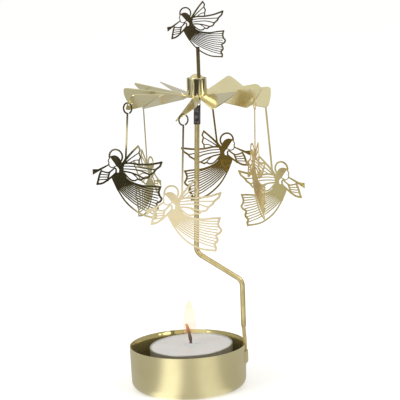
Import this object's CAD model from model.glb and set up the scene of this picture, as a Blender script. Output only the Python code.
"""Looks of the angel chime carousel: brass finishes, burnt wick, flame, studio and camera."""
import math

import bmesh
import bpy
from mathutils import Matrix, Vector


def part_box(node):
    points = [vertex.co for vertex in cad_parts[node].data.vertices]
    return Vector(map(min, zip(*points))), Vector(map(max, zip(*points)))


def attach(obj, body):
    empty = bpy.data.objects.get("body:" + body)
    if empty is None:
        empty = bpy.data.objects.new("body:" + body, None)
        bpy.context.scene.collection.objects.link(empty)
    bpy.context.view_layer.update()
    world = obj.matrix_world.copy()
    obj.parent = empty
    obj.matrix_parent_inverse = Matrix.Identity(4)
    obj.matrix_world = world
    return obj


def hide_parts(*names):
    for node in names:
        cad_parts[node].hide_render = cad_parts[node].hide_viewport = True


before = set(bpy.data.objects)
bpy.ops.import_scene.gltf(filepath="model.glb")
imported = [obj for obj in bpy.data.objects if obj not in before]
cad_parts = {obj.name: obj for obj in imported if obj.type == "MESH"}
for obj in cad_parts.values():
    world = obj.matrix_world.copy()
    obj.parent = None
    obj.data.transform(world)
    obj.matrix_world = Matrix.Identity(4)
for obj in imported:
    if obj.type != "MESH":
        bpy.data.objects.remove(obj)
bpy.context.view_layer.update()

MM = 0.001

# Camera: its place in millimetres, its turns in degrees, its frame in pixels and its reach in metres
CAMERA_PLACE = Vector((115.0, -760.2, 222.9))
CAMERA_AZIMUTH = 8.0
CAMERA_DOWN = 10.04
CAMERA_ROLL = 2.135
FOCAL_PIXELS = 1719.4
FRAME_PIXELS = 400
SENSOR_MM = 36.0
CAMERA_NEAREST, CAMERA_FARTHEST = 0.05, 20

# Tealight as it stands in the cup, in millimetres and degrees
TEALIGHT_PLACE = (1.3, 5.2, 1.05)
TEALIGHT_TILT = 2.0
TEALIGHT_RAISED = 30.0
WAX_TOP = 16.95

# Cup's wall, in metres: centre of its bottom corner, mid surface and how much it opens upwards
CUP_CORNER_X, CUP_CORNER_Z = 0.02255, 0.0039
CUP_MIDDLE = 0.0037
CUP_FLARE = 0.022
# Lip inside the rim, where the wall turns outwards
LIP_LOW, LIP_HIGH, LIP_DEPTH = 0.0172, 0.0204, 0.0007
# Cup's finish: roughness inside, how much rougher it is outside, and how metallic it is inside
CUP_POLISH = 0.06
CUP_SATIN = 0.22
INSIDE_METALLIC = 0.75

# Handling marks: noise at which clouds begin and are full, and the roughness that they add
CLOUD_LOW, CLOUD_HIGH, CLOUD_DULLING = 0.38, 0.66, 0.08
# Scale and roughness of the fine scratches, scale and height in metres of the ripples
SCRATCH_SCALE, SCRATCH_DEPTH = 2600.0, 0.05
RIPPLE_SCALE, RIPPLE_HEIGHT = 120.0, 0.0004

WHITE = (1, 1, 1, 1)
BLACK = (0, 0, 0, 1)


def rgba(r, g, b):
    """Linear colour of a display colour given as 0 to 255."""
    parts = []
    for value in (r, g, b):
        c = value / 255
        parts.append(c / 12.92 if c <= 0.04045 else ((c + 0.055) / 1.055) ** 2.4)
    return (*parts, 1)


def grey(value):
    """Very slightly warm grey."""
    return (value, value, value * 0.98, 1)


def make_camera():
    data = bpy.data.cameras.new("camera")
    data.sensor_width = SENSOR_MM
    data.lens = SENSOR_MM * FOCAL_PIXELS / FRAME_PIXELS
    data.clip_start = CAMERA_NEAREST
    data.clip_end = CAMERA_FARTHEST
    turn, down, roll = (math.radians(a) for a in (CAMERA_AZIMUTH, CAMERA_DOWN, CAMERA_ROLL))
    forward = Vector((-math.sin(turn) * math.cos(down), math.cos(turn) * math.cos(down), -math.sin(down)))
    level = Vector((math.cos(turn), math.sin(turn), 0))
    above = level.cross(forward)
    right = level * math.cos(roll) - above * math.sin(roll)
    up = level * math.sin(roll) + above * math.cos(roll)
    turned = Matrix((right, up, -forward)).transposed().to_4x4()
    camera = bpy.data.objects.new("camera", data)
    camera.matrix_world = Matrix.Translation(CAMERA_PLACE * MM) @ turned
    bpy.context.collection.objects.link(camera)
    bpy.context.scene.camera = camera


make_camera()


# Node helpers

class Tree:
    """Short way to add and join shader nodes."""

    def __init__(self, tree):
        self.tree = tree

    def join(self, value, socket):
        if isinstance(value, bpy.types.NodeSocket):
            self.tree.links.new(value, socket)
        else:
            socket.default_value = value

    def node(self, kind, inputs=None, **settings):
        made = self.tree.nodes.new(kind)
        for name, value in settings.items():
            setattr(made, name, value)
        for name, value in (inputs or {}).items():
            self.join(value, made.inputs[name])
        return made

    def math(self, operation, a, b=0.0, clamp=False):
        return self.node("ShaderNodeMath", {0: a, 1: b}, operation=operation, use_clamp=clamp).outputs[0]

    def length(self, a, b):
        """Length of the diagonal whose sides are a and b."""
        return self.math("SQRT", self.math("ADD", self.math("POWER", a, 2.0), self.math("POWER", b, 2.0)))

    def mix(self, factor, a, b):
        made = self.node("ShaderNodeMix", data_type="RGBA")
        for label, value in (("Factor_Float", factor), ("A_Color", a), ("B_Color", b)):
            self.join(value, next(s for s in made.inputs if s.identifier == label))
        return next(s for s in made.outputs if s.identifier == "Result_Color")

    def band(self, value, low, high):
        """Rises smoothly from 0 where the value is low to 1 where it is high."""
        made = self.node("ShaderNodeMapRange", {"Value": value, "From Min": low, "From Max": high},
                         interpolation_type="SMOOTHSTEP")
        return made.outputs[0]

    def ramp(self, value, stops):
        made = self.node("ShaderNodeValToRGB", {"Fac": value})
        points = made.color_ramp.elements
        while len(points) < len(stops):
            points.new(0.5)
        for point, (place, colour) in zip(points, stops):
            point.position = place
            point.color = colour
        return made.outputs["Color"]

    def noise(self, scale, detail=2.0, roughness=0.5):
        return self.node("ShaderNodeTexNoise", {"Vector": self.place(), "Scale": scale, "Detail": detail,
                                                "Roughness": roughness}).outputs["Fac"]

    def place(self):
        return self.node("ShaderNodeTexCoord").outputs["Object"]


def new_material(name):
    material = bpy.data.materials.new(name)
    material.use_nodes = True
    material.node_tree.nodes.clear()
    return material, Tree(material.node_tree)


def finish_material(tree, shader):
    tree.node("ShaderNodeOutputMaterial", {"Surface": shader})


def group_tree(name, inputs, outputs):
    """New shader node group with named sockets."""
    group = bpy.data.node_groups.new(name, "ShaderNodeTree")
    for kind, sockets in (("INPUT", inputs), ("OUTPUT", outputs)):
        for label, socket_type in sockets:
            group.interface.new_socket(label, in_out=kind, socket_type=socket_type)
    tree = Tree(group)
    return group, tree, tree.node("NodeGroupInput").outputs, tree.node("NodeGroupOutput").inputs


def make_brass_marks():
    """Handling marks of polished brass: cloudy tone, fine scratches and a faint waviness."""
    group, tree, given, out = group_tree(
        "brass_marks",
        [("Colour", "NodeSocketColor"), ("Tarnish", "NodeSocketColor"), ("Amount", "NodeSocketFloat"),
         ("Roughness", "NodeSocketFloat"), ("Scale", "NodeSocketFloat"), ("Wave", "NodeSocketFloat")],
        [("Colour", "NodeSocketColor"), ("Roughness", "NodeSocketFloat"), ("Normal", "NodeSocketVector")])
    cloud = tree.noise(given["Scale"], 3.0, 0.55)
    mask = tree.math("MULTIPLY", tree.band(cloud, CLOUD_LOW, CLOUD_HIGH), given["Amount"])
    rough = tree.math("ADD", given["Roughness"], tree.math("MULTIPLY", mask, CLOUD_DULLING))
    scratch = tree.math("SUBTRACT", tree.noise(SCRATCH_SCALE), 0.5)
    rough = tree.math("ADD", rough, tree.math("MULTIPLY", scratch, SCRATCH_DEPTH), clamp=True)
    bump = tree.node("ShaderNodeBump", {"Strength": given["Wave"], "Distance": RIPPLE_HEIGHT,
                                        "Height": tree.noise(RIPPLE_SCALE, 1.0)})
    tree.join(tree.mix(mask, given["Colour"], given["Tarnish"]), out["Colour"])
    tree.join(rough, out["Roughness"])
    tree.join(bump.outputs[0], out["Normal"])
    return group


BRASS_MARKS = make_brass_marks()


def marked(tree, colour, tarnish, amount, roughness, scale, wave):
    """Colour, roughness and normal of a metal with handling marks."""
    return tree.node("ShaderNodeGroup", {
        "Colour": colour, "Tarnish": tarnish, "Amount": amount, "Roughness": roughness, "Scale": scale,
        "Wave": wave}, node_tree=BRASS_MARKS).outputs


def metal(name, colour, tarnish, amount=0.5, roughness=0.15, scale=90.0, wave=0.1, metallic=1.0):
    material, tree = new_material(name)
    marks = marked(tree, colour, tarnish, amount, roughness, scale, wave)
    shader = tree.node("ShaderNodeBsdfPrincipled", {
        "Base Color": marks["Colour"], "Roughness": marks["Roughness"], "Normal": marks["Normal"],
        "Metallic": metallic})
    finish_material(tree, shader.outputs[0])
    return material


def cup_brass():
    """Satin outside and mirror polished inside: the two are told apart by the distance from the
    bottom corner's centre line, which the wall's mid surface keeps."""
    material, tree = new_material("cup_brass")
    marks = marked(tree, rgba(222, 211, 165), rgba(210, 197, 148), 0.4, CUP_POLISH, 60.0, 0.02)
    parts = tree.node("ShaderNodeSeparateXYZ", {"Vector": tree.place()}).outputs
    over = tree.math("SUBTRACT", parts["Z"], CUP_CORNER_Z)
    out = tree.math("SUBTRACT", tree.length(parts["X"], parts["Y"]), CUP_CORNER_X)
    depth = tree.length(tree.math("MAXIMUM", out, 0.0), tree.math("MINIMUM", over, 0.0))
    flare = tree.math("MULTIPLY", tree.math("MAXIMUM", over, 0.0), CUP_FLARE)
    outside = tree.math("GREATER_THAN", depth, tree.math("ADD", CUP_MIDDLE, flare))
    rough = tree.math("ADD", marks["Roughness"], tree.math("MULTIPLY", outside, CUP_SATIN))
    metallic = tree.math("ADD", INSIDE_METALLIC, tree.math("MULTIPLY", outside, 1.0 - INSIDE_METALLIC))
    colour = tree.mix(outside, rgba(198, 184, 126), marks["Colour"])
    lip = tree.math("MULTIPLY", tree.band(parts["Z"], LIP_LOW, LIP_HIGH), tree.math("SUBTRACT", outside, 1.0))
    turned = tree.node("ShaderNodeBump", {"Strength": 1.0, "Distance": LIP_DEPTH, "Height": lip,
                                          "Normal": marks["Normal"]})
    shader = tree.node("ShaderNodeBsdfPrincipled", {
        "Base Color": colour, "Roughness": rough, "Normal": turned.outputs[0], "Metallic": metallic})
    finish_material(tree, shader.outputs[0])
    return material


MATERIALS = {
    "cup": cup_brass(),
    "stand_rod": metal("wire_brass", rgba(222, 206, 152), rgba(186, 164, 108), roughness=0.3, scale=200.0),
    "needle_sleeve": metal("crimped_steel", rgba(128, 122, 122), rgba(40, 38, 40), 0.9, 0.4, 900.0, 0.6),
    "pivot_needle": metal("needle_steel", rgba(170, 168, 165), rgba(120, 118, 112), 0.4, 0.2),
    "rotor": metal("mirror_brass", rgba(226, 216, 172), rgba(214, 202, 152), 0.4, 0.12, wave=0.03),
    "bearing_cap": metal("cap_brass", rgba(232, 220, 176), rgba(208, 190, 136), 0.4, 0.05),
    "hub_collar": metal("collar_brass", rgba(232, 222, 180), rgba(208, 192, 140), 0.3, 0.04, wave=0.04),
    "top_angel": metal("top_angel_brass", rgba(214, 198, 150), rgba(194, 174, 122), 0.5, 0.1, wave=0.03),
    "charm_1": metal("charm_dark", rgba(206, 196, 152), rgba(190, 178, 132), 0.3, 0.06, wave=0.02),
    "charm_2": metal("charm_olive", rgba(200, 188, 134), rgba(180, 166, 110), 0.5, 0.28),
    "charm_3": metal("charm_cream", rgba(234, 221, 184), rgba(226, 208, 162), 0.4, 0.12, wave=0.03),
    "charm_4": metal("charm_brown", rgba(206, 182, 118), rgba(180, 152, 90), 0.6, 0.08, wave=0.02),
    "charm_5": metal("charm_olive_gold", rgba(220, 206, 150), rgba(206, 190, 128), 0.4, 0.14, wave=0.03),
    "charm_6": metal("charm_gold", rgba(224, 200, 128), rgba(204, 172, 92), 0.5, 0.28),
    "tealight_cup": metal("thin_tin", rgba(200, 197, 190), rgba(160, 156, 148), 0.4, 0.3, metallic=0.7),
    "wick_holder": metal("holder_tin", rgba(180, 178, 176), rgba(130, 128, 126), 0.4, 0.3),
}


# Height over the wax, in millimetres, where the wick has charred and where its tip glows
CHAR_LOW, CHAR_HIGH = 0.5, 1.5
GLOW_LOW, GLOW_HIGH = 5.4, 8.2

# Flame's tones by share of this height over the wax, in millimetres: colour, and how solid it is
FLAME_HEIGHT = 22.0
FLAME_COLOURS = [(0.0, rgba(214, 206, 226)), (0.2, rgba(246, 214, 190)), (0.4, rgba(255, 206, 140)),
                 (0.52, rgba(255, 250, 226)), (0.7, rgba(255, 254, 232)), (1.0, rgba(248, 246, 186))]
FLAME_SOLID = [(0.0, grey(0.06)), (0.2, grey(0.12)), (0.34, grey(0.18)), (0.46, grey(0.36)),
               (0.6, grey(0.68)), (0.8, grey(0.72)), (1.0, grey(0.45))]


def make_wax():
    material, tree = new_material("wax")
    cloud = tree.noise(160.0, 3.0)
    colour = tree.mix(cloud, rgba(228, 224, 222), rgba(216, 212, 210))
    bump = tree.node("ShaderNodeBump", {"Strength": 0.1, "Distance": 0.0003, "Height": cloud})
    shader = tree.node("ShaderNodeBsdfPrincipled", {
        "Base Color": colour, "Roughness": 0.38, "Normal": bump.outputs[0],
        "Subsurface Weight": 0.25, "Subsurface Scale": 0.004})
    finish_material(tree, shader.outputs[0])
    return material


def height_above_wax(tree):
    """Height over the wax, in millimetres, from the object's own coordinates."""
    z = tree.node("ShaderNodeSeparateXYZ", {"Vector": tree.place()}).outputs["Z"]
    return tree.math("SUBTRACT", tree.math("MULTIPLY", z, 1000.0), TEALIGHT_PLACE[2] + WAX_TOP)


def make_char():
    """Burnt cotton: reddish at the foot, then black and crusty, with a glowing tip."""
    material, tree = new_material("charred_cotton")
    grain = tree.noise(2200.0, 4.0)
    height = height_above_wax(tree)
    crust = tree.mix(grain, rgba(12, 9, 9), rgba(48, 36, 30))
    base = tree.mix(tree.band(height, CHAR_LOW, CHAR_HIGH), rgba(196, 128, 96), crust)
    glow = tree.band(height, GLOW_LOW, GLOW_HIGH)
    bump = tree.node("ShaderNodeBump", {"Strength": 0.7, "Distance": 0.0003, "Height": grain})
    shader = tree.node("ShaderNodeBsdfPrincipled", {
        "Base Color": base, "Roughness": 0.85, "Normal": bump.outputs[0],
        "Emission Color": tree.mix(glow, BLACK, rgba(196, 92, 34)), "Emission Strength": 0.8})
    finish_material(tree, shader.outputs[0])
    return material


def make_flame_skin():
    """Clear and faintly violet at the foot, orange round the wick's tip, then pale yellow."""
    material, tree = new_material("flame_glow")
    up = tree.math("DIVIDE", height_above_wax(tree), FLAME_HEIGHT)
    shader = tree.node("ShaderNodeBsdfPrincipled", {
        "Base Color": BLACK, "Roughness": 1.0, "Specular IOR Level": 0.0,
        "Alpha": tree.ramp(up, FLAME_SOLID),
        "Emission Color": tree.ramp(up, FLAME_COLOURS), "Emission Strength": 1.0})
    finish_material(tree, shader.outputs[0])
    return material


MATERIALS["wax"] = make_wax()
MATERIALS["wick"] = make_char()

for name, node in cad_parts.items():
    node.data.materials.clear()
    node.data.materials.append(MATERIALS[name])


# Burnt wick and flame

def seated():
    """Where the tealight stands: on the cup's floor, with one side raised."""
    turn = math.radians(TEALIGHT_RAISED)
    return (Matrix.Translation(Vector(TEALIGHT_PLACE)) @ Matrix.Rotation(turn, 4, "Z")
            @ Matrix.Rotation(math.radians(-TEALIGHT_TILT), 4, "Y") @ Matrix.Rotation(-turn, 4, "Z"))


def piece_from(mesh, name, material, body):
    """Makes a finished piece of a bmesh drawn in millimetres."""
    bmesh.ops.scale(mesh, vec=(MM, MM, MM), verts=mesh.verts)
    bmesh.ops.recalc_face_normals(mesh, faces=mesh.faces)
    data = bpy.data.meshes.new(name)
    mesh.to_mesh(data)
    mesh.free()
    data.polygons.foreach_set("use_smooth", [True] * len(data.polygons))
    data.materials.append(material)
    piece = bpy.data.objects.new(name, data)
    bpy.context.collection.objects.link(piece)
    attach(piece, body)
    return piece


def revolved(profile, steps):
    """Closed solid from a profile of radius and height pairs that starts and ends on the axis."""
    mesh = bmesh.new()
    verts = [mesh.verts.new((r, 0, z)) for r, z in profile]
    edges = [mesh.edges.new(pair) for pair in zip(verts, verts[1:])]
    bmesh.ops.spin(mesh, geom=verts + edges, cent=(0, 0, 0), axis=(0, 0, 1), angle=2 * math.pi,
                   steps=steps, use_merge=True)
    bmesh.ops.remove_doubles(mesh, verts=mesh.verts, dist=0.001)
    return mesh


# Wick, in millimetres: how high and how far out it goes, which way, and how deep in the wax it starts
WICK_RISE = 10.0
WICK_LEAN = 1.5
WICK_TURN = math.radians(178)
WICK_SUNK = 0.4
# Its strands: rings along, sides round, twist in radians, how far each lies from the middle, its
# radius and how much that swells, and the share of the height where the tip narrows, and how fast
STRAND_RINGS, STRAND_SIDES = 36, 10
STRAND_TWIST = 9
STRAND_OFFSET = 0.26
STRAND_RADIUS, STRAND_SWELL = 0.58, 0.06
TIP_FROM, TIP_TAPER = 0.9, 2.6


def make_wick():
    """Two plied cotton strands that curl over towards the burnt tip."""
    mesh = bmesh.new()
    for strand in (0, math.pi):
        previous, face = None, None
        for ring in range(STRAND_RINGS + 1):
            t = ring / STRAND_RINGS
            twist = strand + STRAND_TWIST * t
            out = WICK_LEAN * t * t
            thick = STRAND_RADIUS + STRAND_SWELL * t - TIP_TAPER * max(0, t - TIP_FROM)
            centre = Vector((out * math.cos(WICK_TURN) + STRAND_OFFSET * math.cos(twist),
                             out * math.sin(WICK_TURN) + STRAND_OFFSET * math.sin(twist),
                             WAX_TOP - WICK_SUNK + (WICK_RISE + WICK_SUNK) * t))
            if face is None:
                made = bmesh.ops.create_circle(mesh, cap_ends=True, segments=STRAND_SIDES, radius=thick,
                                               matrix=Matrix.Translation(centre))
                face = made["verts"][0].link_faces[0]
            else:
                face = bmesh.ops.extrude_discrete_faces(mesh, faces=[face])["faces"][0]
                bmesh.ops.translate(mesh, verts=face.verts, vec=centre - previous)
                size = sum((v.co - centre).length for v in face.verts) / len(face.verts)
                bmesh.ops.scale(mesh, verts=face.verts, vec=[thick / size] * 3,
                                space=Matrix.Translation(-centre))
            previous = centre
    bmesh.ops.transform(mesh, verts=mesh.verts, matrix=seated())
    wick = piece_from(mesh, "burnt_wick", MATERIALS["wick"], "candle")
    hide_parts("wick")


# Radius and height over the wax, in millimetres, of the flame and of the wax round the wick
FLAME_PROFILE = [(0, 0.8), (1.0, 1.1), (1.8, 2.2), (2.6, 4.6), (3.0, 7.2), (3.05, 10), (2.75, 13),
                 (2.2, 15.8), (1.45, 18.4), (0.7, 20.6), (0, 21.7)]
MELT_PROFILE = [(0, -0.3), (2.6, -0.3), (3.2, -0.03), (2.4, 0.03), (1.7, 0.12), (1.15, 0.36),
                (0.85, 0.74), (0.65, 0.8), (0, 0.7)]
# How far the flame stands aside of the wick's foot
FLAME_ASIDE = Vector((-0.35, 0, 0))
FLAME_SMOOTHING = 2


def make_flame():
    """Teardrop that rises round the wick."""
    mesh = revolved(FLAME_PROFILE, 32)
    foot = seated() @ Vector((0, 0, WAX_TOP))
    bmesh.ops.translate(mesh, verts=mesh.verts, vec=foot + FLAME_ASIDE)
    flame = piece_from(mesh, "flame", make_flame_skin(), "candle")
    smooth = flame.modifiers.new("smooth", "SUBSURF")
    smooth.levels = FLAME_SMOOTHING
    smooth.render_levels = FLAME_SMOOTHING


def make_melt_ring():
    """Wax drawn a little way up the wick."""
    mesh = revolved(MELT_PROFILE, 40)
    bmesh.ops.transform(mesh, verts=mesh.verts, matrix=seated() @ Matrix.Translation((0, 0, WAX_TOP)))
    piece_from(mesh, "melt_ring", MATERIALS["wax"], "candle")


make_wick()
make_flame()
make_melt_ring()


# Studio

# Brightness of the studio by compass turn from the camera, degrees to the right
FAR_TONES = [(-180, 0.9), (-142, 0.9), (-122, 0.15), (-100, 0.12), (-75, 0.42), (-58, 0.55), (-50, 1.2),
             (-42, 1.2), (-35, 0.3), (-25, 0.07), (14, 0.07), (22, 0.2), (34, 0.24), (60, 0.28), (74, 0.11),
             (90, 0.14), (106, 0.28), (128, 0.6), (146, 0.9), (180, 0.9)]
NEAR_TONES = [(-180, 0.58), (-66, 0.56), (-50, 0.62), (-36, 1.5), (-19, 1.5), (-7, 0.7), (7, 0.7), (20, 1.02),
              (40, 1.02), (56, 0.58), (180, 0.58)]
OVERHEAD_TONE = grey(0.86)
ROOM_LIGHT = grey(0.78)
# Sine of the height over the table where near tones take over, and where the overhead tone does
NEAR_LOW, NEAR_HIGH = 0.02, 0.1
OVERHEAD_LOW, OVERHEAD_HIGH = 0.3, 0.6

# Table, in metres: its radius and where it takes on far tones, and its own glow
TABLE_RADIUS = 4
TABLE_FAR_LOW, TABLE_FAR_HIGH = 0.5, 0.78
TABLE_GLOW = 0.3


def make_studio_tones():
    """Studio brightness in a direction: far tones by the horizon, and near tones."""
    group, tree, given, out = group_tree("studio_tones", [("Way", "NodeSocketVector")],
                                         [("Far", "NodeSocketColor"), ("Near", "NodeSocketColor")])
    front = Vector((CAMERA_PLACE.x, CAMERA_PLACE.y, 0)).normalized()
    side = Vector((-front.y, front.x, 0))
    parts = [tree.node("ShaderNodeVectorMath", {0: given["Way"], 1: tuple(axis)},
                       operation="DOT_PRODUCT").outputs["Value"] for axis in (side, front)]
    turn = tree.math("ADD", tree.math("DIVIDE", tree.math("ARCTAN2", *parts), 2 * math.pi), 0.5)
    for label, tones in (("Far", FAR_TONES), ("Near", NEAR_TONES)):
        stops = [(degrees / 360 + 0.5, grey(value)) for degrees, value in tones]
        tree.join(tree.ramp(turn, stops), out[label])
    return group


STUDIO_TONES = make_studio_tones()


def studio_tones(tree, way):
    """Far and near tones of the studio in a direction."""
    return tree.node("ShaderNodeGroup", {"Way": way}, node_tree=STUDIO_TONES).outputs


def make_world():
    """White to the camera. Polished metal mirrors the studio's tones."""
    world = bpy.data.worlds.new("studio")
    world.use_nodes = True
    world.node_tree.nodes.clear()
    tree = Tree(world.node_tree)
    path = tree.node("ShaderNodeLightPath").outputs
    way = tree.node("ShaderNodeTexCoord").outputs["Generated"]
    room = studio_tones(tree, way)
    high = tree.node("ShaderNodeSeparateXYZ", {"Vector": way}).outputs["Z"]
    tone = tree.mix(tree.band(high, NEAR_LOW, NEAR_HIGH), room["Far"], room["Near"])
    tone = tree.mix(tree.band(high, OVERHEAD_LOW, OVERHEAD_HIGH), tone, OVERHEAD_TONE)
    seen = tree.math("ADD", path["Is Glossy Ray"], path["Is Transmission Ray"], clamp=True)
    colour = tree.mix(path["Is Camera Ray"], tree.mix(seen, ROOM_LIGHT, tone), WHITE)
    background = tree.node("ShaderNodeBackground", {"Color": colour})
    tree.node("ShaderNodeOutputWorld", {"Surface": background.outputs[0]})
    bpy.context.scene.world = world


def stage_piece(mesh, name, material):
    data = bpy.data.meshes.new(name)
    mesh.to_mesh(data)
    mesh.free()
    data.materials.append(material)
    made = bpy.data.objects.new(name, data)
    bpy.context.collection.objects.link(made)
    return made


def make_floor():
    """White table. Polished metal mirrors it in the studio's tones, bright and dark by turns."""
    mesh = bmesh.new()
    bmesh.ops.create_circle(mesh, cap_ends=True, segments=96, radius=TABLE_RADIUS)
    material, tree = new_material("pale_floor")
    path = tree.node("ShaderNodeLightPath").outputs
    place = tree.place()
    room = studio_tones(tree, place)
    reach = tree.node("ShaderNodeVectorMath", {0: place}, operation="LENGTH").outputs["Value"]
    tone = tree.mix(tree.band(reach, TABLE_FAR_LOW, TABLE_FAR_HIGH), room["Near"], room["Far"])
    mirrored = tree.node("ShaderNodeEmission", {"Color": tone}).outputs[0]
    seen = tree.math("ADD", path["Is Camera Ray"], path["Is Transmission Ray"], clamp=True)
    glow = tree.node("ShaderNodeEmission", {"Color": WHITE,
                                            "Strength": tree.math("MULTIPLY", seen, TABLE_GLOW)})
    matt = tree.node("ShaderNodeBsdfDiffuse", {"Color": (0.9, 0.9, 0.9, 1)})
    lit = tree.node("ShaderNodeAddShader", {0: matt.outputs[0], 1: glow.outputs[0]}).outputs[0]
    both = tree.node("ShaderNodeMixShader", {0: path["Is Glossy Ray"], 1: lit, 2: mirrored})
    finish_material(tree, both.outputs[0])
    stage_piece(mesh, "floor", material)


# How far behind the mirroring piece a card stands, in metres, and how much wider it is than the piece
CARD_AWAY = 0.3
CARD_GROW = 1.3

DARK_CARD = (0.05, 0.048, 0.038, 1)
PALE_CARD = (1.0, 0.98, 0.94, 1)
BROWN_CARD = (0.19, 0.17, 0.1, 1)
BLACK_CARD = (0.05, 0.046, 0.042, 1)
GREY_CARD = (0.16, 0.15, 0.13, 1)

# Card, the piece that mirrors it, that piece's compass turn, the tone, and from which share of the
# piece's height to which the card shows
CARDS = [
    ("card_left", "charm_1", 168, DARK_CARD, 0.08, 0.62),
    ("card_left_ring", "charm_1", 168, DARK_CARD, 0.8, 1.1),
    ("card_middle", "charm_3", 200, PALE_CARD, -0.1, 0.56),
    ("card_middle_ring", "charm_3", 200, DARK_CARD, 0.8, 1.1),
    ("card_right", "charm_4", 21, BROWN_CARD, -0.1, 1.1),
    ("card_high", "top_angel", 24, BLACK_CARD, 0.46, 1.1),
    ("card_high_foot", "top_angel", 24, GREY_CARD, -0.1, 0.44),
]


def mirror_card(name, node, heading, colour, low_share, high_share):
    """Studio card that a flat piece mirrors towards the camera. The camera is mirrored in the piece's
    plane, and the card stands where the piece, seen from there, hides it between two shares of the
    piece's height."""
    low, high = (Vector(corner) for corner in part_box(node))
    middle = (low + high) / 2
    middle.z = low.z + (high.z - low.z) * (low_share + high_share) / 2
    along = Vector((math.cos(heading), math.sin(heading), 0))
    normal = Vector((along.y, -along.x, 0))
    eye = CAMERA_PLACE * MM
    mirrored = eye - 2 * (eye - middle).dot(normal) * normal
    reach = middle - mirrored
    scale = (reach.length + CARD_AWAY) / reach.length
    place = Matrix.Translation(mirrored + reach * scale)
    wide = (high - low).xy.length * scale * CARD_GROW
    tall = (high.z - low.z) * (high_share - low_share) * scale
    mesh = bmesh.new()
    bmesh.ops.create_grid(mesh, x_segments=1, y_segments=1, size=0.5)
    axes = Matrix((along * wide, Vector((0, 0, tall)), normal)).transposed().to_4x4()
    bmesh.ops.transform(mesh, verts=mesh.verts, matrix=place @ axes)
    material, tree = new_material(name + "_paint")
    finish_material(tree, tree.node("ShaderNodeEmission", {"Color": colour}).outputs[0])
    card = stage_piece(mesh, name, material)
    card.visible_camera = False
    card.visible_diffuse = False
    card.visible_shadow = False
    card.visible_transmission = False


SOFTBOX_TARGET = Vector((0, 0, 0.08))


def softbox(name, place, size, power):
    """Square area light, in metres and watts, turned to the middle of the object."""
    data = bpy.data.lights.new(name, "AREA")
    data.size = size
    data.energy = power
    lamp = bpy.data.objects.new(name, data)
    lamp.location = place
    lamp.rotation_euler = (SOFTBOX_TARGET - Vector(place)).to_track_quat("-Z", "Y").to_euler()
    bpy.context.collection.objects.link(lamp)


make_world()
make_floor()
for label, node, turn, tone, low_share, high_share in CARDS:
    mirror_card(label, node, math.radians(turn), tone, low_share, high_share)
softbox("softbox_left", (-0.7, -0.6, 0.7), size=0.6, power=3.0)
softbox("softbox_right", (0.8, -0.5, 0.6), size=0.5, power=2.0)

bpy.context.scene.view_settings.view_transform = "Standard"
